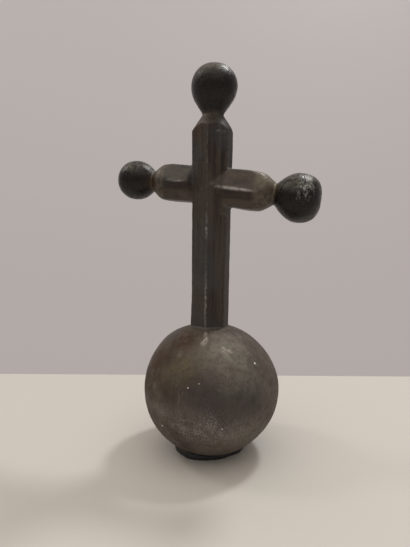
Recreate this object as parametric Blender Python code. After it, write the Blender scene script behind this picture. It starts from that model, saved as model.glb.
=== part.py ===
"""A lead grave cross: six-sided bars with knobs on three free ends, cast in one with the lead ball below.

The ball is bedded in a thin black foot pad. Everything is in metres, +Z is up, the arms lie along X and the
front faces -Y. The origin is the centre of the pad's underside, on the axis of the upright.
"""

import math

import bmesh
import bpy
from mathutils import Matrix

# Foot pad: a puck with an uneven edge, dished to take the ball.
PAD_RADIUS = 0.0320
PAD_UNEVENNESS = 0.0009
PAD_FLOOR = 0.0025
PAD_SEGMENTS = 48

# Ball: slightly flattened, standing on a small flat and a little to the right of the upright.
BALL_RADIUS = 0.0620
BALL_HALF_HEIGHT = 0.0595
BALL_FLAT_DEPTH = 0.0041
BALL_OFFSET = 0.0018
BALL_SEGMENTS = 48
BALL_RINGS = 24

# Bars: one edge to the front, one to the back and a flat on each flank. The arms' front edges are a
# little out of the middle, up on the left arm and down on the right one.
DEPTH_TO_WIDTH = 1.0
FLANK_TO_WIDTH = 0.54
UPRIGHT_WIDTH_FOOT = 0.0306
UPRIGHT_WIDTH_CROSSING = 0.0321
UPRIGHT_WIDTH_TOP = 0.0331
LEFT_WIDTH_CROSSING = 0.0309
LEFT_WIDTH_END = 0.0323
RIGHT_WIDTH_CROSSING = 0.0314
RIGHT_WIDTH_END = 0.0334
LEFT_RIDGE_SHIFT = 0.0005
RIGHT_RIDGE_SHIFT = 0.0015
POINTS_PER_SIDE = 4
ROOT_BITE = 0.003

# The crossing and the three knobs' centres.
SHAFT_LENGTH = 0.1251
TOP_REACH = 0.0857
LEFT_REACH = 0.0733
RIGHT_REACH = 0.0768
LEFT_ARM_RISE = 5.1
RIGHT_ARM_DROP = 7.7
LEFT_ARM_TWIST = 3.0
RIGHT_ARM_TWIST = -3.0

# Knobs: each is a little out of line with its bar, and has a domed cap and a taper down to the neck.
# A hollow above 1 draws the taper in near the neck, and a squareness of 2 makes the cap elliptical.
TOP_KNOB_RADIUS = 0.0203
LEFT_KNOB_RADIUS = 0.0178
RIGHT_KNOB_RADIUS = 0.0208
TOP_KNOB_CAP = 0.0190
LEFT_KNOB_CAP = 0.0176
RIGHT_KNOB_CAP = 0.0197
TOP_KNOB_SHIFT = 0.0010
LEFT_KNOB_SHIFT = 0.0
RIGHT_KNOB_SHIFT = 0.0008
TOP_KNOB_FULLNESS = 2.2
LEFT_KNOB_FULLNESS = 2.2
RIGHT_KNOB_FULLNESS = 1.83
TOP_KNOB_HOLLOW = 1.5
LEFT_KNOB_HOLLOW = 1.0
RIGHT_KNOB_HOLLOW = 1.0
TOP_CAP_SQUARENESS = 2.1
LEFT_CAP_SQUARENESS = 2.15
RIGHT_CAP_SQUARENESS = 2.5

# Necks, and the shoulders that the bars' ends are filed down to.
TOP_NECK_RADIUS = 0.0092
LEFT_NECK_RADIUS = 0.0083
RIGHT_NECK_RADIUS = 0.0088
TOP_NECK_DROP = 0.0246
LEFT_NECK_DROP = 0.0180
RIGHT_NECK_DROP = 0.0195
TOP_SHOULDER = 0.0146
LEFT_SHOULDER = 0.0150
RIGHT_SHOULDER = 0.0185
TOP_SHOULDER_BEND = 1.05
ARM_SHOULDER_BEND = 1.7
SHOULDER_STEPS = 8
TAPER_STEPS = 8
CAP_STEPS = 8

# Pieces that touch keep this gap.
GAP = 0.0003
MERGE_DISTANCE = 0.000001

BALL_CENTRE_HEIGHT = PAD_FLOOR + GAP + BALL_HALF_HEIGHT - BALL_FLAT_DEPTH
CROSSING_HEIGHT = BALL_CENTRE_HEIGHT + BALL_HALF_HEIGHT + SHAFT_LENGTH

LEAD_GREY = (0.082, 0.070, 0.060, 1.0)
PITCH_BLACK = (0.012, 0.012, 0.013, 1.0)


def clear_scene():
    for old in list(bpy.data.objects):
        bpy.data.objects.remove(old)


def make_collection(name, hidden=False):
    group = bpy.data.collections.new(name)
    group.hide_render = hidden
    bpy.context.scene.collection.children.link(group)
    return group


def make_material(name, colour, roughness, metallic):
    material = bpy.data.materials.new(name)
    material.use_nodes = True
    shader = material.node_tree.nodes["Principled BSDF"]
    shader.inputs["Base Color"].default_value = colour
    shader.inputs["Roughness"].default_value = roughness
    shader.inputs["Metallic"].default_value = metallic
    material.diffuse_color = colour
    return material


def add_object(name, bm, group, material=None):
    mesh = bpy.data.meshes.new(name)
    bmesh.ops.recalc_face_normals(bm, faces=bm.faces)
    bm.to_mesh(mesh)
    bm.free()
    mesh.shade_smooth()
    mesh.set_sharp_from_angle(angle=math.radians(30))
    thing = bpy.data.objects.new(name, mesh)
    group.objects.link(thing)
    if material:
        mesh.materials.append(material)
    return thing


def mark_as_tool(thing):
    thing.hide_render = True
    thing.display_type = "WIRE"
    return thing


def use_boolean(thing, tool, operation):
    step = thing.modifiers.new(operation.lower() + " " + tool.name, "BOOLEAN")
    step.operation = operation
    step.solver = "EXACT"
    step.object = tool


def bar_outline(width, ridge_shift=0.0):
    """Points round a bar's six-sided section, starting on the right flank."""
    half_width = width / 2
    half_depth = half_width * DEPTH_TO_WIDTH
    half_flank = half_width * FLANK_TO_WIDTH
    corners = [
        (half_width, -half_flank),
        (half_width, half_flank),
        (0.0, half_depth),
        (-half_width, half_flank),
        (-half_width, -half_flank),
        (ridge_shift, -half_depth),
    ]
    points = []
    for side, (x0, y0) in enumerate(corners):
        x1, y1 = corners[(side + 1) % len(corners)]
        for step in range(POINTS_PER_SIDE):
            share = step / POINTS_PER_SIDE
            points.append((x0 + (x1 - x0) * share, y0 + (y1 - y0) * share))
    return points


def bar_reach(width):
    """Distance from a bar's axis to its furthest corner."""
    return max(math.hypot(x, y) for x, y in bar_outline(width))


def end_stations(bar_width, end):
    """Stations (distance, bar width, turned radius, shift) over an end's shoulder, neck and knob.

    The turned radius trims the bar, as a file trims a rod's end. Past the neck it is the whole section.
    """
    stations = []
    neck, knob, drop = end["neck"], end["knob"], end["neck_drop"]
    corner = bar_reach(bar_width)
    for step in range(SHOULDER_STEPS):
        share = step / SHOULDER_STEPS
        radius = neck + (corner - neck) * (1 - share ** end["bend"])
        stations.append((end["reach"] - drop - end["shoulder"] * (1 - share), bar_width, radius, 0.0))
    for step in range(TAPER_STEPS):
        share = step / TAPER_STEPS
        radius = neck + (knob - neck) * (1 - (1 - share) ** end["fullness"]) ** end["hollow"]
        stations.append((end["reach"] - drop * (1 - share), None, radius, end["shift"] * share))
    for step in range(CAP_STEPS):
        turn = math.pi / 2 * step / CAP_STEPS
        power = 2 / end["squareness"]
        distance = end["reach"] + end["cap"] * math.sin(turn) ** power
        stations.append((distance, None, knob * math.cos(turn) ** power, end["shift"]))
    return stations


def station_outline(width, radius, shift, ridge_shift):
    """The section at a station: the bar trimmed to the turned radius, or the turned circle itself."""
    outline = []
    for x, y in bar_outline(width or 1.0, ridge_shift if width else 0.0):
        reach = math.hypot(x, y)
        trim = radius / reach if width is None else min(1.0, radius / reach)
        outline.append((x * trim + shift, y * trim))
    return outline


def loft_limb(name, root_stations, bar_width, end, group):
    """A closed limb along +Z from a flat root to the knob's rounded tip."""
    bm = bmesh.new()
    rings = []
    for distance, width in root_stations:
        outline = bar_outline(width, end["ridge_shift"])
        rings.append([bm.verts.new((x, y, distance)) for x, y in outline])
    for distance, width, radius, shift in end_stations(bar_width, end):
        outline = station_outline(width, radius, shift, end["ridge_shift"])
        rings.append([bm.verts.new((x, y, distance)) for x, y in outline])
    count = len(rings[0])
    for lower, upper in zip(rings, rings[1:]):
        for i in range(count):
            j = (i + 1) % count
            bm.faces.new((lower[i], lower[j], upper[j], upper[i]))
    pole = bm.verts.new((end["shift"], 0.0, end["reach"] + end["cap"]))
    for i in range(count):
        bm.faces.new((rings[-1][i], rings[-1][(i + 1) % count], pole))
    bm.faces.new(list(reversed(rings[0])))
    return add_object(name, bm, group)


def make_arm(name, turn, twist, crossing_width, end_width, end, tools):
    """One side arm from the middle of the crossing outwards, turned about Y from straight up."""
    arm = mark_as_tool(loft_limb(name, [(0.0, crossing_width)], end_width, end, tools))
    arm.location = (0.0, 0.0, CROSSING_HEIGHT)
    arm.rotation_euler = (0.0, math.radians(turn), 0.0)
    for vert in arm.data.vertices:
        vert.co.rotate(Matrix.Rotation(math.radians(twist), 3, "Z"))
    return arm


def ball_surface(radius):
    """Height of the ball's upper surface above its centre at a distance from its axis."""
    share = radius / BALL_RADIUS
    return BALL_HALF_HEIGHT * math.sqrt(max(0.0, 1.0 - share * share))


def make_ball(name, growth, flat_height, tools):
    """The ball, grown all round by growth and cut flat below at a height above the floor."""
    bm = bmesh.new()
    bmesh.ops.create_uvsphere(bm, u_segments=BALL_SEGMENTS, v_segments=BALL_RINGS, radius=1.0)
    size = (BALL_RADIUS + growth, BALL_RADIUS + growth, BALL_HALF_HEIGHT + growth)
    bmesh.ops.scale(bm, vec=size, verts=bm.verts)
    cut = bmesh.ops.bisect_plane(
        bm, geom=bm.verts[:] + bm.edges[:] + bm.faces[:], dist=MERGE_DISTANCE,
        plane_co=(0.0, 0.0, flat_height - BALL_CENTRE_HEIGHT), plane_no=(0.0, 0.0, -1.0), clear_outer=True,
    )
    rim = [piece for piece in cut["geom_cut"] if isinstance(piece, bmesh.types.BMEdge)]
    bmesh.ops.contextual_create(bm, geom=rim)
    ball = mark_as_tool(add_object(name, bm, tools))
    ball.location = (BALL_OFFSET, 0.0, BALL_CENTRE_HEIGHT)
    return ball


def make_lead_cross(parts, tools, material):
    """The upright with its top knob, joined to the two side arms and to the ball."""
    top_end = dict(reach=TOP_REACH, knob=TOP_KNOB_RADIUS, cap=TOP_KNOB_CAP, shift=TOP_KNOB_SHIFT,
                   fullness=TOP_KNOB_FULLNESS, hollow=TOP_KNOB_HOLLOW, squareness=TOP_CAP_SQUARENESS,
                   neck=TOP_NECK_RADIUS, neck_drop=TOP_NECK_DROP,
                   shoulder=TOP_SHOULDER, bend=TOP_SHOULDER_BEND, ridge_shift=0.0)
    left_end = dict(reach=LEFT_REACH, knob=LEFT_KNOB_RADIUS, cap=LEFT_KNOB_CAP, shift=LEFT_KNOB_SHIFT,
                    fullness=LEFT_KNOB_FULLNESS, hollow=LEFT_KNOB_HOLLOW, squareness=LEFT_CAP_SQUARENESS,
                    neck=LEFT_NECK_RADIUS, neck_drop=LEFT_NECK_DROP,
                    shoulder=LEFT_SHOULDER, bend=ARM_SHOULDER_BEND, ridge_shift=LEFT_RIDGE_SHIFT)
    right_end = dict(reach=RIGHT_REACH, knob=RIGHT_KNOB_RADIUS, cap=RIGHT_KNOB_CAP, shift=RIGHT_KNOB_SHIFT,
                     fullness=RIGHT_KNOB_FULLNESS, hollow=RIGHT_KNOB_HOLLOW, squareness=RIGHT_CAP_SQUARENESS,
                     neck=RIGHT_NECK_RADIUS, neck_drop=RIGHT_NECK_DROP,
                     shoulder=RIGHT_SHOULDER, bend=ARM_SHOULDER_BEND, ridge_shift=RIGHT_RIDGE_SHIFT)
    foot_reach = BALL_OFFSET + bar_reach(UPRIGHT_WIDTH_FOOT)
    root = BALL_CENTRE_HEIGHT + ball_surface(foot_reach) - ROOT_BITE - CROSSING_HEIGHT
    root_stations = [(root, UPRIGHT_WIDTH_FOOT), (0.0, UPRIGHT_WIDTH_CROSSING)]
    cross = loft_limb("lead_cross", root_stations, UPRIGHT_WIDTH_TOP, top_end, parts)
    cross.location = (0.0, 0.0, CROSSING_HEIGHT)
    cross.data.materials.append(material)
    left = make_arm("left_arm", LEFT_ARM_RISE - 90, LEFT_ARM_TWIST, LEFT_WIDTH_CROSSING, LEFT_WIDTH_END,
                    left_end, tools)
    right = make_arm("right_arm", RIGHT_ARM_DROP + 90, RIGHT_ARM_TWIST, RIGHT_WIDTH_CROSSING,
                     RIGHT_WIDTH_END, right_end, tools)
    ball = make_ball("ball", 0.0, PAD_FLOOR + GAP, tools)
    for limb in (left, right, ball):
        use_boolean(cross, limb, "UNION")


def pad_edge(turn):
    """How far the pad's uneven edge stands in or out at an angle round the pad."""
    lean = 2.5 * math.cos(turn - 1.6) + 1.8 * math.cos(2 * turn - 1.4) + 0.8 * math.cos(3 * turn - 1.1)
    ripple = 0.4 * math.cos(7 * turn) + 0.3 * math.cos(11 * turn + 2.0)
    return PAD_UNEVENNESS * (lean + ripple)


def make_foot_pad(parts, tools, material):
    """A puck cut by the ball grown by the gap, tall enough for all of its edge to run up to the ball."""
    turns = [2 * math.pi * step / PAD_SEGMENTS for step in range(PAD_SEGMENTS)]
    widest = PAD_RADIUS + BALL_OFFSET + max(pad_edge(turn) for turn in turns)
    height = BALL_CENTRE_HEIGHT - ball_surface(widest) + 2 * GAP
    bm = bmesh.new()
    bmesh.ops.create_cone(
        bm, cap_ends=True, segments=PAD_SEGMENTS, radius1=PAD_RADIUS, radius2=PAD_RADIUS, depth=height,
    )
    bmesh.ops.translate(bm, vec=(0.0, 0.0, height / 2), verts=bm.verts)
    for vert in bm.verts:
        grown = 1.0 + pad_edge(math.atan2(vert.co.y, vert.co.x)) / PAD_RADIUS
        vert.co.x *= grown
        vert.co.y *= grown
    pad = add_object("foot_pad", bm, parts, material)
    use_boolean(pad, make_ball("ball_with_gap", GAP, PAD_FLOOR, tools), "DIFFERENCE")


def main():
    clear_scene()
    parts = make_collection("lead_grave_cross")
    tools = make_collection("joining_shapes", hidden=True)
    make_lead_cross(parts, tools, make_material("weathered lead", LEAD_GREY, 0.55, 0.6))
    make_foot_pad(parts, tools, make_material("black pitch", PITCH_BLACK, 0.5, 0.0))


main()
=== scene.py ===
# Looks of the lead grave cross: one weathered lead casting on a thin bed of black pitch.
# The casting is modelled again here with a fine skin, and it keeps the form and the box of the CAD solid.
import math

import bpy
import numpy as np
from mathutils import Euler, Matrix, Vector, noise


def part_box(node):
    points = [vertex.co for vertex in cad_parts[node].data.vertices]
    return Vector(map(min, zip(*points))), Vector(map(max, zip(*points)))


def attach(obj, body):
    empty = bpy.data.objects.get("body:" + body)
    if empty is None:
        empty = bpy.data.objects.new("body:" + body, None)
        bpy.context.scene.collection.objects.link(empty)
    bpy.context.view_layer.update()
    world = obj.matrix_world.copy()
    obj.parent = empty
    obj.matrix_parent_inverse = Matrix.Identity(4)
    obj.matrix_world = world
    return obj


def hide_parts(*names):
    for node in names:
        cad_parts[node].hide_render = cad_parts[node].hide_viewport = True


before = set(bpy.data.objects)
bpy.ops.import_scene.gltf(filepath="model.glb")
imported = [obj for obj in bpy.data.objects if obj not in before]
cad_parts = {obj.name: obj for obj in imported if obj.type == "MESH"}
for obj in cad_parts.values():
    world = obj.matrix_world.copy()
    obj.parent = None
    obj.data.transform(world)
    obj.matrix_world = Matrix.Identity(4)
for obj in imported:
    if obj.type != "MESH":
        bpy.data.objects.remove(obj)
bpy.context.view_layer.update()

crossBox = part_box("lead_cross")
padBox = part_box("foot_pad")


def mm(value):
    return value / 1000


def deselectAll():
    bpy.ops.object.select_all(action="DESELECT")


def pick(thing):
    deselectAll()
    thing.select_set(True)
    bpy.context.view_layer.objects.active = thing


def added(name):
    thing = bpy.context.active_object
    thing.name = name
    thing.data.name = name
    return thing


def bakePlace(thing):
    pick(thing)
    bpy.ops.object.transform_apply(location=True, rotation=True, scale=True)


def useModifier(thing, kind, **settings):
    pick(thing)
    step = thing.modifiers.new(kind.lower(), kind)
    for key, value in settings.items():
        setattr(step, key, value)
    bpy.ops.object.modifier_apply(modifier=step.name)


def combine(thing, other, operation):
    useModifier(thing, "BOOLEAN", object=other, operation=operation, solver="EXACT")
    bpy.data.objects.remove(other)


def mergePoints(thing):
    pick(thing)
    bpy.ops.object.mode_set(mode="EDIT")
    bpy.ops.mesh.select_all(action="SELECT")
    bpy.ops.mesh.remove_doubles(threshold=1e-6)
    bpy.ops.mesh.normals_make_consistent(inside=False)
    bpy.ops.object.mode_set(mode="OBJECT")


def smoothstep(low, high, value):
    share = np.clip((value - low) / (high - low), 0.0, 1.0)
    return share * share * (3 - 2 * share)


# Camera, at the photo's angle
cameraSet = {
    "place": (0.1118, -0.3835, 0.2056),
    "turn": 17.0,          # degrees round from straight in front
    "pitch": 5.92,         # degrees down
    "roll": 0.74,          # degrees, the picture turned clockwise
    "focalPixels": 440.0,  # for a picture 547 pixels high
    "pictureHeight": 547.0,
    "sensor": 36.0,
}


def makeCamera(view):
    turn, pitch, roll = (math.radians(view[key]) for key in ("turn", "pitch", "roll"))
    forward = Vector((-math.sin(turn) * math.cos(pitch), math.cos(turn) * math.cos(pitch), -math.sin(pitch)))
    right = Vector((math.cos(turn), math.sin(turn), 0))
    up = right.cross(forward)
    rolledRight = right * math.cos(roll) + up * math.sin(roll)
    rolledUp = up * math.cos(roll) - right * math.sin(roll)
    bpy.ops.object.camera_add()
    camera = bpy.context.active_object
    camera.name = "camera"
    camera.data.sensor_width = view["sensor"]
    camera.data.lens = view["focalPixels"] * view["sensor"] / view["pictureHeight"]
    axes = Matrix((rolledRight, rolledUp, -forward)).transposed()
    camera.matrix_world = Matrix.Translation(view["place"]) @ axes.to_4x4()
    bpy.context.scene.camera = camera


makeCamera(cameraSet)
print("camera placed")

# The casting, with the CAD solid's own lengths
ballSet = {
    "radius": mm(62.0), "halfHeight": mm(59.5), "flat": mm(2.8),
    "centre": Vector((mm(1.8), 0.0, mm(58.2))),
}
barSet = {"depthToWidth": 1.0, "flankToWidth": 0.54, "crossing": mm(242.8)}
# A limb's widths are pairs of distance from the crossing and width. Its bright edges, stretches of the front
# edge painted pale for wear and as painted highlight, are pairs of middle and reach along it, and edgeReach
# is how wide an edge is worn, all in mm.
uprightSet = {
    "widths": ((mm(-131), mm(30.6)), (0.0, mm(32.1)), (mm(46.5), mm(33.1))),
    "reach": mm(85.7), "knob": mm(20.3), "cap": mm(19.0), "shift": mm(1.0),
    "fullness": 2.2, "hollow": 1.5, "squareness": 2.1,
    "neck": mm(9.2), "neckDrop": mm(24.6), "shoulder": mm(14.6), "bend": 1.05, "turn": 0.0, "twist": 0.0,
    "ridgeShift": 0.0, "edgeReach": 0.8,
    "brightEdge": ((-36, 11), (-100, 22)),
}
leftSet = {
    "widths": ((0.0, mm(30.9)), (mm(40.3), mm(32.3))),
    "reach": mm(73.3), "knob": mm(17.8), "cap": mm(17.6), "shift": 0.0,
    "fullness": 2.2, "hollow": 1.0, "squareness": 2.15,
    "neck": mm(8.3), "neckDrop": mm(18.0), "shoulder": mm(15.0), "bend": 1.7, "turn": -84.9, "twist": 3.0,
    "ridgeShift": mm(0.5), "edgeReach": 0.55,
    "brightEdge": ((30, 8),),
}
rightSet = {
    "widths": ((0.0, mm(31.4)), (mm(38.8), mm(33.4))),
    "reach": mm(76.8), "knob": mm(20.8), "cap": mm(19.7), "shift": mm(0.8),
    "fullness": 1.83, "hollow": 1.0, "squareness": 2.5,
    "neck": mm(8.8), "neckDrop": mm(19.5), "shoulder": mm(18.5), "bend": 1.7, "turn": 97.7, "twist": -3.0,
    "ridgeShift": mm(1.5), "edgeReach": 0.9,
    "brightEdge": ((24, 20), (22, 18)),
}
skinSet = {
    "voxel": mm(1.16), "roundSteps": 64, "profileSteps": 14,
    "smoothing": 0.5, "firstRounds": 3, "lastRounds": 1,
}
# The solids that file a bar's end down and add its knob: how far they reach past what they cut or join
cutterSet = {
    "below": mm(200), "step": mm(0.5), "growth": 1.1, "knobSunk": mm(2), "knobRoot": 0.8, "knobTip": 0.02,
}


def neckAt(limb):
    return limb["reach"] - limb["neckDrop"]


def drawUp(name, sides, stations):
    height, radius, shift = stations[0]
    deselectAll()
    bpy.ops.mesh.primitive_circle_add(
        vertices=sides, radius=radius, fill_type="NGON", location=(shift, 0, height))
    body = added(name)
    bakePlace(body)
    bpy.ops.object.mode_set(mode="EDIT")
    bpy.ops.mesh.select_all(action="SELECT")
    for nextHeight, nextRadius, nextShift in stations[1:]:
        move = (nextShift - shift, 0, nextHeight - height)
        bpy.ops.mesh.extrude_region_move(TRANSFORM_OT_translate={"value": move})
        grow = nextRadius / radius
        bpy.ops.transform.resize(value=(grow, grow, 1), center_override=(nextShift, 0, nextHeight))
        height, radius, shift = nextHeight, nextRadius, nextShift
    bpy.ops.object.mode_set(mode="OBJECT")
    mergePoints(body)
    return body


# A six-sided bar with an edge to the front and one to the back
def makeBar(name, limb):
    toCorner = 1 / math.sqrt(3)
    stations = [(distance, width * toCorner, 0.0) for distance, width in limb["widths"]]
    stations.append((neckAt(limb), limb["widths"][-1][1] * toCorner, 0.0))
    bar = drawUp(name, 6, stations)
    edgeDepth = barSet["depthToWidth"] * math.sqrt(3) / 2
    flankDepth = barSet["flankToWidth"] * math.sqrt(3)
    for vert in bar.data.vertices:
        onEdge = abs(vert.co.x) < mm(1)
        vert.co.y *= edgeDepth if onEdge else flankDepth
        if onEdge and vert.co.y < 0:
            vert.co.x += limb["ridgeShift"]
    return bar


# What the bar's end is filed down to
def shoulderStations(limb):
    half = limb["widths"][-1][1] / 2
    corner = math.hypot(half, half * barSet["flankToWidth"])
    start = neckAt(limb) - limb["shoulder"]
    wide = corner * cutterSet["growth"]
    stations = [(start - cutterSet["below"], wide, 0.0), (start - cutterSet["step"], wide, 0.0)]
    for step in range(skinSet["profileSteps"] + 1):
        share = step / skinSet["profileSteps"]
        radius = limb["neck"] + (corner - limb["neck"]) * (1 - share ** limb["bend"])
        stations.append((start + limb["shoulder"] * share, radius, 0.0))
    return stations


def knobStations(limb):
    steps = skinSet["profileSteps"]
    stations = [(neckAt(limb) - cutterSet["knobSunk"], limb["neck"] * cutterSet["knobRoot"], 0.0)]
    for share in (step / steps for step in range(steps)):
        rise = (1 - (1 - share) ** limb["fullness"]) ** limb["hollow"]
        radius = limb["neck"] + (limb["knob"] - limb["neck"]) * rise
        stations.append((neckAt(limb) + limb["neckDrop"] * share, radius, limb["shift"] * share))
    power = 2 / limb["squareness"]
    for turn in (math.pi / 2 * step / steps for step in range(steps)):
        distance = limb["reach"] + limb["cap"] * math.sin(turn) ** power
        stations.append((distance, limb["knob"] * math.cos(turn) ** power, limb["shift"]))
    stations.append((limb["reach"] + limb["cap"], limb["knob"] * cutterSet["knobTip"], limb["shift"]))
    return stations


def limbPlace(limb):
    turned = Euler((0, math.radians(limb["turn"]), 0)).to_matrix()
    twisted = Matrix.Rotation(math.radians(limb["twist"]), 3, "Z")
    return Matrix.Translation((0, 0, barSet["crossing"])) @ (turned @ twisted).to_4x4()


def makeLimb(name, limb):
    body = makeBar(name, limb)
    combine(body, drawUp(name + "Shoulder", skinSet["roundSteps"], shoulderStations(limb)), "INTERSECT")
    combine(body, drawUp(name + "Knob", skinSet["roundSteps"], knobStations(limb)), "UNION")
    body.matrix_world = limbPlace(limb)
    bakePlace(body)
    return body


def makeBall(name, growth, flat):
    deselectAll()
    bpy.ops.mesh.primitive_uv_sphere_add(segments=128, ring_count=64, radius=1)
    ball = added(name)
    across = ballSet["radius"] + growth
    ball.scale = (across, across, ballSet["halfHeight"] + growth)
    ball.location = ballSet["centre"]
    bakePlace(ball)
    bpy.ops.object.mode_set(mode="EDIT")
    bpy.ops.mesh.select_all(action="SELECT")
    bpy.ops.mesh.bisect(plane_co=(0, 0, flat), plane_no=(0, 0, 1), use_fill=True, clear_inner=True)
    bpy.ops.object.mode_set(mode="OBJECT")
    return ball


# One fine skin over all of it, drawn back to the sharp shape so that the bars keep their edges
def makeCasting():
    casting = makeLimb("leadCasting", uprightSet)
    combine(casting, makeLimb("leftArm", leftSet), "UNION")
    combine(casting, makeLimb("rightArm", rightSet), "UNION")
    combine(casting, makeBall("ball", 0.0, ballSet["flat"]), "UNION")
    sharp = casting.copy()
    sharp.data = casting.data.copy()
    bpy.context.scene.collection.objects.link(sharp)
    useModifier(casting, "REMESH", mode="VOXEL", voxel_size=skinSet["voxel"], use_smooth_shade=True)
    useModifier(casting, "SMOOTH", factor=skinSet["smoothing"], iterations=skinSet["firstRounds"])
    useModifier(casting, "SHRINKWRAP", target=sharp, wrap_method="NEAREST_SURFACEPOINT")
    useModifier(casting, "SMOOTH", factor=skinSet["smoothing"], iterations=skinSet["lastRounds"])
    bpy.data.objects.remove(sharp)
    return casting


casting = makeCasting()
print("casting joined and skinned:", len(casting.data.vertices), "points")

# Wear and dents, in mm
wearSet = {
    # Size, depth and seed of each layer of noise
    "ballSwell": (30.0, 0.5, 3.1), "barSwell": (19.0, 0.12, 5.7), "lumps": (7.0, 0.13, 9.3),
    "grain": (2.6, 0.06, 1.3), "fileMarks": (1.6, 0.12, 2.2), "nicks": (3.2, 0.35, 6.6),
    "fileStretch": 0.15, "nickStart": 0.25, "pitSeed": 7,
    # Place, radius and height: the ball's own unevenness, then smaller dents and beads
    "swells": [
        ((-33, -11, 107), 24, 1.9), ((46, 10, 18), 15, -1.9), ((-57, -18, 46), 13, -0.7),
        ((60, 8, 66), 14, 0.6), ((20, -32, 106), 5, -0.35), ((30, -33, 100), 4, -0.3),
        ((-20, -48, 85), 7, -0.35), ((46, -38, 60), 9, -0.4), ((-34, -48, 50), 8, -0.35),
        ((10, -56, 66), 9, -0.3), ((2, 62, 70), 10, -0.4), ((-40, 44, 45), 8, -0.35),
        ((50, 30, 85), 7, -0.35), ((47, -23, 92.1), 1.5, -1.0), ((-26, -50.7, 37.6), 1.4, -0.5),
        ((3.6, -15.4, 242.3), 2.2, 0.5), ((5.5, -13.2, 234.8), 2.6, 0.6), ((-6, -13, 238), 3.0, 0.45),
        ((15.9, -5.4, 258.5), 2.4, 0.4), ((-15, -6, 257), 2.4, 0.4), ((-15, -6, 229), 2.6, 0.5),
        ((83, -14, 222), 6, 0.9), ((94, -8, 252), 5, 0.6), ((96, 0, 232), 7, -0.5),
        ((78, -19, 240), 5, -0.4), ((7.9, -12.4, 287.5), 2.0, -0.3), ((-12, -10, 334), 5, -0.35),
        ((14, -9, 320), 5, 0.3), ((-74, -17, 252), 4, -0.3), ((-80, -12, 240), 5, 0.3),
    ],
    # From, to, half width and height: solder run down the shaft's foot, and the fused seams
    "beads": [
        ((3.1, -22.7, 113.5), (5.6, -32.1, 108.9), 0.9, 1.2),
        ((5.6, -32.1, 108.9), (3.6, -34.0, 107.6), 0.9, 0.8),
        ((-7.1, -12.4, 235.9), (15.7, -2.0, 224.2), 1.2, 0.45),
        ((5, -15, 240), (15, -7, 258), 1.3, 0.3),
    ],
    # Middle, spread, count, sizes and depths
    "pits": [
        ((83.8, -17, 236), 5.5, 70, (0.8, 1.5), (0.2, 0.6)), ((4, -14, 335), 9, 50, (0.8, 1.6), (0.08, 0.25)),
        ((-76, -12, 248), 8, 40, (0.8, 1.6), (0.08, 0.25)), ((30, -12, 245), 9, 26, (0.8, 1.3), (0.08, 0.22)),
        ((10, -56, 44), 16, 90, (0.8, 1.5), (0.1, 0.3)), ((0, -10, 60), 45, 160, (0.9, 1.8), (0.1, 0.35)),
    ],
}
# Where each zone of the casting starts and is full, in mm, but ballSkin in radii of the ball, and how far
# each kind of edge is worn
zoneSet = {
    "ballSkin": (1.012, 1.04), "shaftFoot": (114, 118), "limbReach": 26, "armStart": (11, 17),
    "knob": (-1, 4), "shoulderBlend": 3, "facetEnd": (-20, -7), "edgeEnd": -10, "edgeBlend": 2,
    # The band and under spans place the painted shade below the arms' front edge and the painted bounce light
    # under it
    "shadeBandTop": (0.6, 1.6), "shadeBandFoot": (6.5, 8.5), "under": (7, 9.5),
    "edgeStart": {"upright": -131, "arm": 6}, "plainEdge": 0.22, "backEdge": 0.6, "flankEdge": 0.2,
}
# How the bars are melted into each other: lengths in mm, and rounds of smoothing
joinSet = {
    "uprightHalf": 16.05, "steepness": 4.0, "leftArmSlope": 0.09, "leftArmHalf": 20, "sunkReach": 28,
    "crossing": (-6, -11, 242), "crossingFade": (12, 21), "crossingRounds": 16,
    "footHeight": 114, "footFade": 3, "footReach": 24,
    "endStart": (-4, 2), "endStop": (-4, -1), "endRounds": 60, "leastWeight": 0.02,
}


def coordinates(thing, kind="co"):
    flat = np.empty(len(thing.data.vertices) * 3)
    thing.data.vertices.foreach_get(kind, flat)
    return flat.reshape(-1, 3)


def setCoordinates(thing, points, box):
    low, high = np.array(box[0]), np.array(box[1])
    thing.data.vertices.foreach_set("co", np.clip(points, low, high).ravel())
    thing.data.update()


# Smooth noise between -1 and 1, with lumps of the given size
def noiseAt(points, size, seed=0.0):
    step = Vector((seed, seed * 1.7, -seed))
    return np.array([noise.noise(Vector(point) / size + step) for point in points])


# Smoothstep between two lengths in mm
def between(span, value, start=0.0):
    return smoothstep(start + mm(span[0]), start + mm(span[1]), value)


# 1 at no distance, fading out over the reach in mm
def fade(distance, reach):
    return np.exp(-(distance / mm(reach)) ** 2)


def distanceTo(points, place):
    return np.linalg.norm(points - np.array(place) / 1000, axis=1)


def distanceToLine(points, start, end):
    start, end = np.array(start) / 1000, np.array(end) / 1000
    along = np.clip((points - start) @ (end - start) / np.sum((end - start) ** 2), 0, 1)
    return np.linalg.norm(points - (start + along[:, None] * (end - start)), axis=1)


# Points in a limb's own frame: across, to the back, and out along it
def limbCoordinates(points, limb):
    place = np.array(limbPlace(limb).inverted())
    return points @ place[:3, :3].T + place[:3, 3]


# Adds to a zone what isn't in it yet
def grow(zone, name, values):
    zone[name] = np.maximum(zone[name], values)


def ballZone(points):
    size = np.array((ballSet["radius"], ballSet["radius"], ballSet["halfHeight"]))
    radial = np.linalg.norm((points - np.array(ballSet["centre"])) / size, axis=1)
    return (1 - smoothstep(*zoneSet["ballSkin"], radial)) * (1 - between(zoneSet["shaftFoot"], points[:, 2]))
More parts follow.
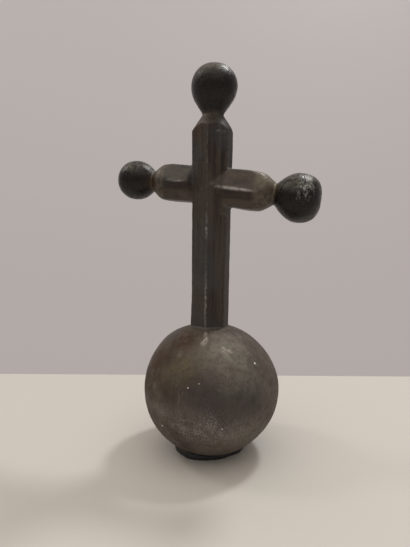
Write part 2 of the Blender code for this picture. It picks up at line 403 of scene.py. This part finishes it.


# The arms' front facets below the edge: a band of painted shade, then painted bounce light on the under side
def facetZones(zone, limb, across, toBack, out, near):
    upwards = 1 if limb is leftSet else -1
    below, ridge = -across * upwards, -limb["ridgeShift"] * upwards
    onArm = between(zoneSet["armStart"], out) * (1 - between(zoneSet["facetEnd"], out, neckAt(limb)))
    onFront = near * (toBack < 0) * onArm
    shadeBand = between(zoneSet["shadeBandTop"], below, ridge) * (1 - between(zoneSet["shadeBandFoot"], below, ridge))
    grow(zone, "shadeBand", onFront * shadeBand)
    grow(zone, "under", onFront * between(zoneSet["under"], below, ridge))
    grow(zone, "arm", near * between(zoneSet["armStart"], out))


# The bars' six edges, brightest in front, pale with wear and on the front edge's bright stretches also a
# painted highlight
def edgeZone(zone, limb, across, toBack, out, near):
    end = neckAt(limb)
    low = mm(zoneSet["edgeStart"]["upright" if limb is uprightSet else "arm"])
    bar = near * between((0, zoneSet["edgeBlend"]), out, low)
    bar = bar * (1 - smoothstep(end - limb["shoulder"], end + mm(zoneSet["edgeEnd"]), out))
    distances, widths = zip(*limb["widths"])
    half = np.interp(out, distances, [width / 2 for width in widths])
    flank = half * barSet["flankToWidth"]
    rubbedAndHighlit = sum(np.exp(-((out - mm(middle)) / mm(reach)) ** 4) for middle, reach in limb["brightEdge"])
    edges = [(0, -1, zoneSet["plainEdge"] + rubbedAndHighlit), (0, 1, zoneSet["backEdge"])]
    edges += [(x, y, zoneSet["flankEdge"]) for x in (-1, 1) for y in (-1, 1)]
    for x, y, weight in edges:
        moved = limb["ridgeShift"] if (x, y) == (0, -1) else 0.0
        toEdge = np.hypot(across - x * half - moved, toBack - y * (half if x == 0 else flank))
        grow(zone, "arris", weight * bar * fade(toEdge, limb["edgeReach"]))


# How much each point belongs to the ball, the arms, the knobs, the shoulders and the bars' edges
def zones(points):
    zone = {name: np.zeros(len(points)) for name in ("arm", "knob", "shoulder", "arris", "shadeBand", "under")}
    for limb in (uprightSet, leftSet, rightSet):
        across, toBack, out = limbCoordinates(points, limb).T
        near = np.hypot(across, toBack) < mm(zoneSet["limbReach"])
        knob = near * between(zoneSet["knob"], out, neckAt(limb))
        shoulder = near * between((0, zoneSet["shoulderBlend"]), out, neckAt(limb) - limb["shoulder"])
        grow(zone, "knob", knob)
        grow(zone, "shoulder", shoulder - knob)
        if limb is not uprightSet:
            facetZones(zone, limb, across, toBack, out, near)
        edgeZone(zone, limb, across, toBack, out, near)
    zone["ball"] = ballZone(points)
    zone["arris"] = zone["arris"] * (1 - zone["ball"])
    return zone


# Melts the left arm's front edge down towards the upright, so that the upright's left facet runs on unbroken
def sinkLeftArm(thing):
    points = coordinates(thing)
    half = mm(joinSet["uprightHalf"])
    flank = half * barSet["flankToWidth"]
    out = -points[:, 0]
    inside = flank + (half - flank) * np.clip(1 - out / half, 0, 1)
    depth = np.where(out < half, inside, flank + (out - half) * joinSet["steepness"])
    axis = barSet["crossing"] + out * joinSet["leftArmSlope"]
    level = np.abs(points[:, 2] - axis) < mm(joinSet["leftArmHalf"])
    sunk = (out > 0) & (out < mm(joinSet["sunkReach"])) & level & (points[:, 1] < -depth)
    points[sunk, 1] = -depth[sunk]
    setCoordinates(thing, points, crossBox)


def smoothWhere(thing, weight, rounds):
    group = thing.vertex_groups.new(name="fused")
    for index in np.nonzero(weight > joinSet["leastWeight"])[0]:
        group.add([int(index)], float(weight[index]), "REPLACE")
    useModifier(thing, "SMOOTH", factor=skinSet["smoothing"], iterations=rounds, vertex_group="fused")
    thing.vertex_groups.clear()


# Softens the fused inside corners at the crossing and at the shaft's foot, then the arms' filed ends
def fuseCorners(thing):
    points = coordinates(thing)
    crossing = 1 - between(joinSet["crossingFade"], distanceTo(points, joinSet["crossing"]))
    nearAxis = np.hypot(points[:, 0], points[:, 1]) < mm(joinSet["footReach"])
    foot = fade(points[:, 2] - mm(joinSet["footHeight"]), joinSet["footFade"]) * nearAxis
    smoothWhere(thing, np.clip(crossing + foot, 0, 1), joinSet["crossingRounds"])
    ends = np.zeros(len(points))
    for limb in (leftSet, rightSet):
        across, toBack, out = limbCoordinates(points, limb).T
        atEnd = between(joinSet["endStart"], out, neckAt(limb) - limb["shoulder"])
        atEnd = atEnd * (1 - between(joinSet["endStop"], out, neckAt(limb)))
        ends = np.maximum(ends, atEnd * (np.hypot(across, toBack) < mm(zoneSet["limbReach"])))
    smoothWhere(thing, ends, joinSet["endRounds"])


def layerAt(points, layer):
    size, depth, seed = layer
    return noiseAt(points, mm(size), seed) * depth


def wearDown(thing):
    points, facing = coordinates(thing), coordinates(thing, "normal")
    zone = zones(points)
    ball, knob = zone["ball"], zone["knob"]
    push = ball * layerAt(points, wearSet["ballSwell"]) + (1 - ball) * layerAt(points, wearSet["barSwell"])
    push += layerAt(points, wearSet["lumps"]) + layerAt(points, wearSet["grain"])
    drawn = wearSet["fileStretch"]
    alongBar = np.where(zone["arm"][:, None] > 0.5, (drawn, 1, 1), (1, 1, drawn))
    push -= np.abs(layerAt(points * alongBar, wearSet["fileMarks"])) * (1 - ball) * (1 - knob)
    size, depth, seed = wearSet["nicks"]
    push -= np.clip(noiseAt(points, mm(size), seed) - wearSet["nickStart"], 0, 1) * depth * zone["arris"]
    for place, radius, height in wearSet["swells"]:
        push += height * fade(distanceTo(points, place), radius)
    for start, end, halfWidth, height in wearSet["beads"]:
        push += height * fade(distanceToLine(points, start, end), halfWidth)
    chance = np.random.default_rng(wearSet["pitSeed"])
    for middle, spread, count, sizes, depths in wearSet["pits"]:
        for pit in range(count):
            away = distanceTo(points, np.array(middle) + chance.normal(0, spread, 3))
            deep = chance.uniform(*depths)
            push -= deep * fade(away, chance.uniform(*sizes))
    setCoordinates(thing, points + facing * mm(push)[:, None], crossBox)


sinkLeftArm(casting)
fuseCorners(casting)
wearDown(casting)
print("casting worn and dented")

# Stains, bloom and pale patches, in mm: place, radius, strength; the pale patches on the ball's right are
# partly painted highlight
stainAndLightSet = {
    "bloom": [
        ((14, -58, 44), 13, 1.0), ((-8, -58, 46), 12, 0.9), ((34, -50, 40), 14, 0.8), ((8, -60, 60), 10, 0.3),
        ((0, -56, 38), 5, 1.2), ((13, -59, 48), 6, 0.8), ((10, -52, 26), 10, 0.5), ((-22, -54, 54), 5, 0.8),
        ((-28, -50, 56), 8, 0.5), ((0, 56, 45), 22, 0.5),
    ],
    "brown": [
        ((-14, -30, 106), 13, 1.0), ((-34, -36, 88), 14, 0.9), ((-52, -28, 66), 15, 1.0),
        ((-52, -9, 246), 6, 1.0), ((-11, -10, 290), 8, 0.8), ((-30, -46, 70), 12, 0.5),
        ((10, 30, 108), 16, 0.8),
    ],
    "yellow": [
        ((-8, -50, 90), 12, 0.8), ((-24, -46, 84), 6, 0.5), ((57, -8, 240), 5, 0.6), ((48, -8, 248), 8, 0.4),
    ],
    # Pale patches on the ball's right: partly patina, and partly painted highlight where the light falls
    "pale": [
        ((24, -36, 98), 19, 1.0), ((44, -30, 84), 18, 0.6), ((46, -38, 36), 18, 0.7),
        ((30, -46, 78), 14, 0.3),
    ],
    "purple": [
        ((44, -42, 68), 18, 1.0), ((14, -58, 68), 19, 1.0), ((50, -10, 50), 20, 0.4), ((20, 54, 70), 24, 0.7),
    ],
    "crust": [((84, -18, 238), 6.5, 1.0), ((80, -20, 232), 4, 0.6)],
}
# Pale solder and scratches, in mm: from, to, half width, strength
smearSet = {
    "lines": [
        ((1.5, -16.5, 124), (3.1, -22.7, 113.5), 0.8, 0.5),
        ((3.1, -22.7, 113.5), (5.6, -32.1, 108.9), 1.2, 1.0),
        ((5.6, -32.1, 108.9), (3.6, -34.6, 106.8), 1.3, 1.0),
        ((20.2, -32.1, 105.9), (29, -32.3, 101.6), 0.9, 0.4), ((22, -35, 103), (27, -36, 99), 1.1, 0.4),
        ((7, -12.5, 288), (14, -9, 287.5), 0.7, 0.35), ((20, -41, 98), (23, -42, 95), 0.8, 0.25),
    ],
    "waves": 1.1, "waveSize": 3.5, "waveSeeds": (1.0, 4.0, 8.0),
}
# Which way a surface has to face to count as a side, and how strong the painted shade on the right flank is
# below and above
sideSet = {
    "left": (0.1, 0.7), "up": (0.15, 0.75), "right": (0.5, 0.9),
    "rightBelow": 0.45, "rightAbove": 1.0, "headStart": (246, 258),
}


def spotsAt(points, spots):
    marks = [strength * fade(distanceTo(points, place), radius) for place, radius, strength in spots]
    return np.clip(sum(marks), 0, 1)


def smearAt(points):
    waves = [noiseAt(points, mm(smearSet["waveSize"]), seed) for seed in smearSet["waveSeeds"]]
    wavy = points + mm(smearSet["waves"]) * np.stack(waves, axis=1)
    marks = [
        strength * fade(distanceToLine(wavy, start, end), halfWidth)
        for start, end, halfWidth, strength in smearSet["lines"]
    ]
    return np.clip(sum(marks), 0, 1)


def paintZones(thing):
    points, facing = coordinates(thing), coordinates(thing, "normal")
    zone = zones(points)
    zone["leftSide"] = smoothstep(*sideSet["left"], -facing[:, 0])
    # Upward faces, which take painted light on the bars and knobs
    zone["upSide"] = smoothstep(*sideSet["up"], facing[:, 2])
    # Painted shade on the right flank, strongest on the head
    head = between(sideSet["headStart"], points[:, 2])
    dark = sideSet["rightBelow"] + (sideSet["rightAbove"] - sideSet["rightBelow"]) * head
    flank = smoothstep(*sideSet["right"], facing[:, 0])
    zone["shadedRightSide"] = flank * dark * (1 - zone["knob"]) * (1 - zone["ball"])
    for name, spots in stainAndLightSet.items():
        zone[name] = spotsAt(points, spots)
    zone["smear"] = smearAt(points)
    for name, values in zone.items():
        layer = thing.data.attributes.new(name=name, type="FLOAT", domain="POINT")
        layer.data.foreach_set("value", values.astype(np.float32))


paintZones(casting)


# Materials are small node trees, built by these helpers
class Tree:
    def __init__(self, name):
        self.material = bpy.data.materials.new(name)
        self.material.use_nodes = True
        self.nodes = self.material.node_tree.nodes
        self.links = self.material.node_tree.links
        self.shader = self.nodes["Principled BSDF"]
        self.place = self.nodes.new("ShaderNodeTexCoord").outputs["Object"]

    def feed(self, socket, value):
        if isinstance(value, bpy.types.NodeSocket):
            self.links.new(value, socket)
        else:
            socket.default_value = value

    def attribute(self, name):
        node = self.nodes.new("ShaderNodeAttribute")
        node.attribute_name = name
        return node.outputs["Fac"]

    def moved(self, stretch=(1, 1, 1), offset=(0, 0, 0), turn=(0, 0, 0)):
        node = self.nodes.new("ShaderNodeMapping")
        node.inputs["Scale"].default_value = stretch
        node.inputs["Location"].default_value = offset
        node.inputs["Rotation"].default_value = turn
        self.links.new(self.place, node.inputs["Vector"])
        return node.outputs["Vector"]

    def noise(self, scale, detail, rough, distort=0.0, **placing):
        node = self.nodes.new("ShaderNodeTexNoise")
        given = {"Scale": scale, "Detail": detail, "Roughness": rough, "Distortion": distort}
        for key, value in given.items():
            node.inputs[key].default_value = value
        self.links.new(self.moved(**placing), node.inputs["Vector"])
        return node.outputs["Fac"]

    def cells(self, scale):
        node = self.nodes.new("ShaderNodeTexVoronoi")
        node.inputs["Scale"].default_value = scale
        self.links.new(self.moved(), node.inputs["Vector"])
        return node.outputs["Distance"]

    def distance(self, place):
        node = self.nodes.new("ShaderNodeVectorMath")
        node.operation = "DISTANCE"
        self.links.new(self.place, node.inputs[0])
        node.inputs[1].default_value = [mm(value) for value in place]
        return node.outputs["Value"]

    def ramp(self, value, low, high, start=0.0, end=1.0):
        node = self.nodes.new("ShaderNodeMapRange")
        node.interpolation_type = "SMOOTHSTEP"
        given = {"Value": value, "From Min": low, "From Max": high, "To Min": start, "To Max": end}
        for key, number in given.items():
            self.feed(node.inputs[key], number)
        return node.outputs["Result"]

    def maths(self, operation, first, second=0.0):
        node = self.nodes.new("ShaderNodeMath")
        node.operation = operation
        self.feed(node.inputs[0], first)
        self.feed(node.inputs[1], second)
        return node.outputs[0]

    def times(self, *values):
        result = values[0]
        for value in values[1:]:
            result = self.maths("MULTIPLY", result, value)
        return result

    def mix(self, share, first, second):
        node = self.nodes.new("ShaderNodeMix")
        node.data_type = "RGBA"
        for index, given in ((0, share), (6, first), (7, second)):
            self.feed(node.inputs[index], (*given, 1.0) if isinstance(given, tuple) else given)
        return node.outputs[2]

    # One colour laid over another, as far as all of the shares let it
    def over(self, below, colour, *shares):
        return self.mix(self.times(*shares), below, colour)

    # The named colour laid where the attribute of the same name is painted
    def stainAndLightPatch(self, below, look, name, *shares):
        return self.over(below, look[name], self.attribute(name), *shares)

    def blend(self, share, first, second):
        node = self.nodes.new("ShaderNodeMix")
        node.data_type = "FLOAT"
        for index, given in ((0, share), (2, first), (3, second)):
            self.feed(node.inputs[index], given)
        return node.outputs[0]

    def bump(self, *layers):
        last = None
        for height, strength, distance in layers:
            node = self.nodes.new("ShaderNodeBump")
            node.inputs["Strength"].default_value = strength
            node.inputs["Distance"].default_value = distance
            self.links.new(height, node.inputs["Height"])
            if last:
                self.links.new(last, node.inputs["Normal"])
            last = node.outputs["Normal"]
        self.links.new(last, self.shader.inputs["Normal"])


leadSet = {
    "ballDark": (0.064, 0.047, 0.035), "ballLight": (0.122, 0.098, 0.076), "purple": (0.050, 0.041, 0.045),
    "pale": (0.185, 0.172, 0.142), "bloom": (0.360, 0.335, 0.320),
    "barDark": (0.022, 0.014, 0.012), "barLight": (0.058, 0.043, 0.034), "slate": (0.044, 0.046, 0.050),
    "olive": (0.112, 0.094, 0.070), "knobDark": (0.008, 0.005, 0.004), "knobLight": (0.095, 0.084, 0.064),
    "brown": (0.054, 0.028, 0.013), "yellow": (0.150, 0.118, 0.062), "worn": (0.330, 0.310, 0.300),
    "crust": (0.300, 0.320, 0.310), "speck": (0.800, 0.780, 0.740), "sootAndShade": (0.020, 0.016, 0.014),
    "smear": (0.620, 0.520, 0.460), "metallic": 0.35, "specular": 0.42,
    # White specks: place and radius in mm
    "specks": [
        ((47, -23, 92.1), 1.3), ((-0.6, -58.5, 76.9), 0.8), ((8.1, -56.9, 80.8), 0.6),
        ((-26.4, -50.7, 37.6), 1.1), ((27.2, -54.6, 44.8), 0.7), ((5.5, -13.2, 234.8), 0.8),
    ],
}


def leadMaterial(look):
    tree = Tree("weatheredLead")
    ball, knob, arris, arm = (tree.attribute(name) for name in ("ball", "knob", "arris", "arm"))
    leftSide, shadedRightSide, upSide = (tree.attribute(name) for name in ("leftSide", "shadedRightSide", "upSide"))
    clouds = tree.noise(30, 3, 0.5)
    mottle = tree.noise(95, 6, 0.65, 0.4, offset=(0.3, 0.1, 0.7))
    blotch = tree.noise(210, 5, 0.7, 0.6, offset=(0.5, 0.8, 0.2))
    fine = tree.noise(520, 4, 0.7, offset=(0.9, 0.4, 0.2))
    grit = tree.noise(1400, 3, 0.7)
    wiped = tree.noise(190, 5, 0.7, 0.5, stretch=(1, 1, 0.3), offset=(0.2, 0.6, 0.4), turn=(0.2, 0.9, 0.2))
    crossed = tree.noise(
        150, 4, 0.6, 0.2, stretch=(0.55, 1, 1), offset=(0.7, 0.1, 0.4), turn=(-0.2, 0.35, 0.5))
    upStreaks = tree.noise(240, 4, 0.6, stretch=(1, 1, 0.06))
    sideStreaks = tree.noise(240, 4, 0.6, stretch=(0.06, 1, 1))
    streaks = tree.blend(arm, upStreaks, sideStreaks)
    dashes = tree.noise(330, 5, 0.75, offset=(0.1, 0.2, 0.9))
    powder = tree.noise(1000, 5, 0.8, offset=(0.6, 0.2, 0.1))

    onBall = tree.mix(tree.ramp(clouds, 0.35, 0.65), look["ballDark"], look["ballLight"])
    onBall = tree.stainAndLightPatch(onBall, look, "purple", tree.ramp(mottle, 0.25, 0.6, 0.6, 1.0))
    # Pale patches on the ball's right, partly patina and partly painted highlight
    onBall = tree.stainAndLightPatch(onBall, look, "pale", tree.ramp(mottle, 0.3, 0.65, 0.35, 1.0))
    onBall = tree.over(onBall, look["ballDark"], tree.ramp(blotch, 0.46, 0.70, 0.0, 0.6))
    notPurple = tree.ramp(tree.attribute("purple"), 0.1, 0.7, 1.0, 0.1)
    onBall = tree.over(onBall, look["pale"], tree.ramp(wiped, 0.52, 0.68, 0.0, 0.5), notPurple)
    onBall = tree.over(onBall, look["sootAndShade"], tree.ramp(crossed, 0.45, 0.75, 0.0, 0.35))

    onBar = tree.mix(tree.ramp(streaks, 0.34, 0.68), look["barDark"], look["barLight"])
    onBar = tree.over(onBar, look["slate"], tree.ramp(clouds, 0.45, 0.6, 0.0, 0.5))
    onBar = tree.over(onBar, look["olive"], leftSide, tree.ramp(mottle, 0.3, 0.7, 0.1, 0.45))
    shoulder = tree.times(tree.attribute("shoulder"), tree.ramp(arm, 0.0, 1.0, 0.1, 1.0))
    # Lighter olive on upward faces, mostly on the arms: painted light from above, mottled
    top = tree.times(upSide, tree.ramp(arm, 0.0, 1.0, 0.2, 1.0))
    onBar = tree.over(onBar, look["olive"], top, tree.ramp(mottle, 0.3, 0.6, 0.25, 0.75))
    # Painted shade on the right flank, strongest on the head
    onBar = tree.over(onBar, look["sootAndShade"], shadedRightSide, 0.7)
    # Painted shade in a band just under the arms' front edge
    onBar = tree.over(onBar, look["barDark"], tree.attribute("shadeBand"), tree.ramp(mottle, 0.3, 0.6, 0.8, 0.4))
    # Painted bounce light on the lower side of the arms' front facets
    onBar = tree.over(onBar, look["olive"], tree.attribute("under"), tree.ramp(mottle, 0.3, 0.6, 0.15, 0.4))
    onBar = tree.over(onBar, look["olive"], shoulder, tree.ramp(blotch, 0.38, 0.60, 0.2, 0.85))

    # Knobs: upward faces laid lighter as a painted reflection of the light above, over the knob's own fine
    # mottle
    onKnob = tree.mix(tree.times(upSide, tree.ramp(blotch, 0.42, 0.62)), look["knobDark"], look["knobLight"])
    onKnob = tree.over(onKnob, look["knobLight"], tree.ramp(fine, 0.58, 0.72, 0.0, 0.45))
    onKnob = tree.over(onKnob, look["knobLight"], leftSide, upSide, tree.ramp(fine, 0.48, 0.62, 0.0, 0.9))

    # Stains, bloom, worn edges with painted edge highlights, scratches and specks lie over all of it
    colour = tree.mix(knob, tree.mix(ball, onBar, onBall), onKnob)
    colour = tree.stainAndLightPatch(colour, look, "brown", tree.ramp(mottle, 0.28, 0.55, 0.3, 0.95))
    colour = tree.stainAndLightPatch(colour, look, "yellow", tree.ramp(blotch, 0.35, 0.6, 0.2, 0.8))
    cloudy = tree.ramp(mottle, 0.35, 0.60, 0.25, 1.0)
    colour = tree.stainAndLightPatch(colour, look, "bloom", tree.ramp(powder, 0.42, 0.66), cloudy)
    broken = tree.ramp(blotch, 0.42, 0.55)
    colour = tree.stainAndLightPatch(colour, look, "crust", tree.ramp(fine, 0.46, 0.56), broken)
    # Pale worn edges, which on the front edge's bright stretches are also a painted highlight
    worn = tree.blend(arm, tree.ramp(dashes, 0.42, 0.62, 0.1, 1.0), tree.ramp(dashes, 0.34, 0.5, 0.3, 1.0))
    colour = tree.over(colour, look["worn"], arris, worn)
    colour = tree.stainAndLightPatch(colour, look, "smear", tree.ramp(dashes, 0.34, 0.52, 0.5, 1.0))
    flecks = tree.times(tree.ramp(tree.cells(170), 0.10, 0.06), tree.ramp(mottle, 0.52, 0.60))
    colour = tree.over(colour, look["pale"], flecks, 0.55)
    for place, radius in look["specks"]:
        inside = tree.ramp(tree.distance(place), mm(radius), mm(radius * 0.5))
        colour = tree.over(colour, look["speck"], inside)
    tree.links.new(colour, tree.shader.inputs["Base Color"])

    barRough, ballRough = tree.ramp(streaks, 0.3, 0.7, 0.34, 0.50), tree.ramp(mottle, 0.3, 0.7, 0.55, 0.75)
    rough = tree.blend(ball, barRough, ballRough)
    rough = tree.blend(knob, rough, tree.ramp(blotch, 0.38, 0.62, 0.16, 0.46))
    rough = tree.blend(shadedRightSide, rough, 0.85)
    rough = tree.maths("ADD", rough, tree.ramp(fine, 0.4, 0.7, -0.04, 0.10))
    tree.links.new(rough, tree.shader.inputs["Roughness"])
    tree.links.new(tree.ramp(shadedRightSide, 0.0, 1.0, look["metallic"], 0.0), tree.shader.inputs["Metallic"])
    tree.shader.inputs["Specular IOR Level"].default_value = look["specular"]
    tree.bump((mottle, 0.35, 0.0012), (blotch, 0.45, 0.0008), (fine, 0.45, 0.0004), (grit, 0.3, 0.00015))
    return tree.material


def dress(thing, material, node):
    thing.data.materials.clear()
    thing.data.materials.append(material)
    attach(thing, "root")
    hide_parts(node)
    print(thing.name, "dressed")


dress(casting, leadMaterial(leadSet), "lead_cross")

# The foot pad of black pitch
padSet = {
    "radius": mm(32.0), "uneven": mm(0.9), "floor": mm(2.5), "gap": mm(0.3), "height": mm(11.6),
    # Depth, count and start of each wave round the edge
    "lean": ((2.5, 1, -1.6), (1.8, 2, -1.4), (0.8, 3, -1.1)), "ripple": ((0.4, 7, 0.0), (0.3, 11, 2.0)),
    # Size and depth of the side's lumps, how far they sink below it, and where the side starts
    "lumps": ((2.2, 0.22), (6.0, 0.25)), "sunk": 0.4, "side": (24, 28), "sideFacing": (0.2, 0.9),
    "undercut": mm(1.2), "undercutHeight": mm(2.2),
    "roundSteps": 96, "voxel": mm(0.7), "rounds": 2,
    "dark": (0.008, 0.008, 0.008), "light": (0.045, 0.044, 0.042), "dust": (0.16, 0.145, 0.125),
}


def wavesAt(turn, waves):
    return sum(depth * math.cos(count * turn + start) for depth, count, start in waves)


def makePad():
    radius = padSet["radius"]
    pad = drawUp("pitchPad", padSet["roundSteps"], [(0.0, radius, 0.0), (padSet["height"], radius, 0.0)])
    for vert in pad.data.vertices:
        turn = math.atan2(vert.co.y, vert.co.x)
        edge = padSet["uneven"] * (wavesAt(turn, padSet["lean"]) + wavesAt(turn, padSet["ripple"]))
        grown = 1 + edge / radius
        vert.co.x *= grown
        vert.co.y *= grown
    combine(pad, makeBall("ballHollow", padSet["gap"], padSet["floor"]), "DIFFERENCE")
    useModifier(pad, "REMESH", mode="VOXEL", voxel_size=padSet["voxel"], use_smooth_shade=True)
    useModifier(pad, "SMOOTH", factor=skinSet["smoothing"], iterations=padSet["rounds"])
    points, facing = coordinates(pad), coordinates(pad, "normal")
    atSide = between(padSet["side"], np.hypot(points[:, 0], points[:, 1]))
    push = np.zeros(len(points))
    for size, depth in padSet["lumps"]:
        push += (noiseAt(points, mm(size), size) - padSet["sunk"]) * mm(depth)
    low = 1 - smoothstep(0.0, padSet["undercutHeight"], points[:, 2])
    push -= padSet["undercut"] * low * smoothstep(*padSet["sideFacing"], np.hypot(facing[:, 0], facing[:, 1]))
    setCoordinates(pad, points + facing * (push * atSide)[:, None], padBox)
    return pad


def pitchMaterial(look):
    tree = Tree("blackPitch")
    lumps = tree.noise(230, 5, 0.65)
    grit = tree.noise(1200, 3, 0.6)
    colour = tree.mix(tree.ramp(lumps, 0.42, 0.7), look["dark"], look["light"])
    colour = tree.over(colour, look["dust"], tree.ramp(grit, 0.58, 0.72), tree.ramp(lumps, 0.4, 0.6))
    tree.links.new(colour, tree.shader.inputs["Base Color"])
    tree.links.new(tree.ramp(lumps, 0.3, 0.7, 0.28, 0.62), tree.shader.inputs["Roughness"])
    tree.bump((lumps, 0.6, 0.0010), (grit, 0.4, 0.0002))
    return tree.material


dress(makePad(), pitchMaterial(padSet), "foot_pad")

# Floor, backdrop and light
studioSet = {
    "floorColour": (0.60, 0.575, 0.53), "wallColour": (0.10, 0.10, 0.11), "wallGlow": (0.376, 0.336, 0.318),
    "turn": 18.1, "floorSize": 4.0, "floorBack": 0.20, "wallSize": 6.0, "wallBack": 0.95, "wallHeight": 1.0,
    "rough": 0.7, "aim": (0, 0, 0.12),
    "world": (1.0, 0.95, 0.90), "worldStrength": 0.36,
    # Name, place, size, power and colour
    "lights": [
        ("ceiling", (0.10, -0.42, 1.55), 2.6, 14.5, (1.0, 0.91, 0.82)),
        ("lamp", (0.45, 0.67, 1.60), 0.24, 9.5, (0.97, 1.0, 1.0)),
        ("side", (-1.40, -0.08, 1.50), 0.40, 4.5, (1.0, 0.97, 0.92)),
    ],
}


def plainMaterial(name, colour, rough, glow):
    material = bpy.data.materials.new(name)
    material.use_nodes = True
    shader = material.node_tree.nodes["Principled BSDF"]
    shader.inputs["Base Color"].default_value = (*colour, 1)
    shader.inputs["Roughness"].default_value = rough
    shader.inputs["Emission Color"].default_value = (*glow, 1)
    shader.inputs["Emission Strength"].default_value = 1.0
    return material


def makePlane(name, size, depth, height, upright, colour, glow=(0, 0, 0)):
    turn = math.radians(studioSet["turn"])
    tilt = math.pi / 2 if upright else 0.0
    deselectAll()
    place = (-math.sin(turn) * depth, math.cos(turn) * depth, height)
    bpy.ops.mesh.primitive_plane_add(size=size, location=place, rotation=(tilt, 0, turn))
    plane = added(name)
    plane.data.materials.append(plainMaterial(name + "Colour", colour, studioSet["rough"], glow))
    return plane


def makeStage():
    middle = studioSet["floorBack"] - studioSet["floorSize"] / 2
    floor = makePlane("floor", studioSet["floorSize"], middle, 0.0, False, studioSet["floorColour"])
    wall = (studioSet["wallSize"], studioSet["wallBack"], studioSet["wallHeight"])
    backdrop = makePlane("backdrop", *wall, True, studioSet["wallColour"], studioSet["wallGlow"])


def makeLights():
    world = bpy.data.worlds.new("softRoom")
    bpy.context.scene.world = world
    world.use_nodes = True
    world.node_tree.nodes["Background"].inputs["Color"].default_value = (*studioSet["world"], 1)
    world.node_tree.nodes["Background"].inputs["Strength"].default_value = studioSet["worldStrength"]
    for name, place, size, power, colour in studioSet["lights"]:
        bpy.ops.object.light_add(type="AREA", location=place)
        light = bpy.context.active_object
        light.name = name
        light.data.shape = "DISK"
        light.data.size = size
        light.data.energy = power
        light.data.color = colour
        light.rotation_mode = "QUATERNION"
        light.rotation_quaternion = (Vector(studioSet["aim"]) - Vector(place)).to_track_quat("-Z", "Y")


makeStage()
makeLights()
bpy.context.scene.view_settings.view_transform = "Standard"
print("stage and lights placed")
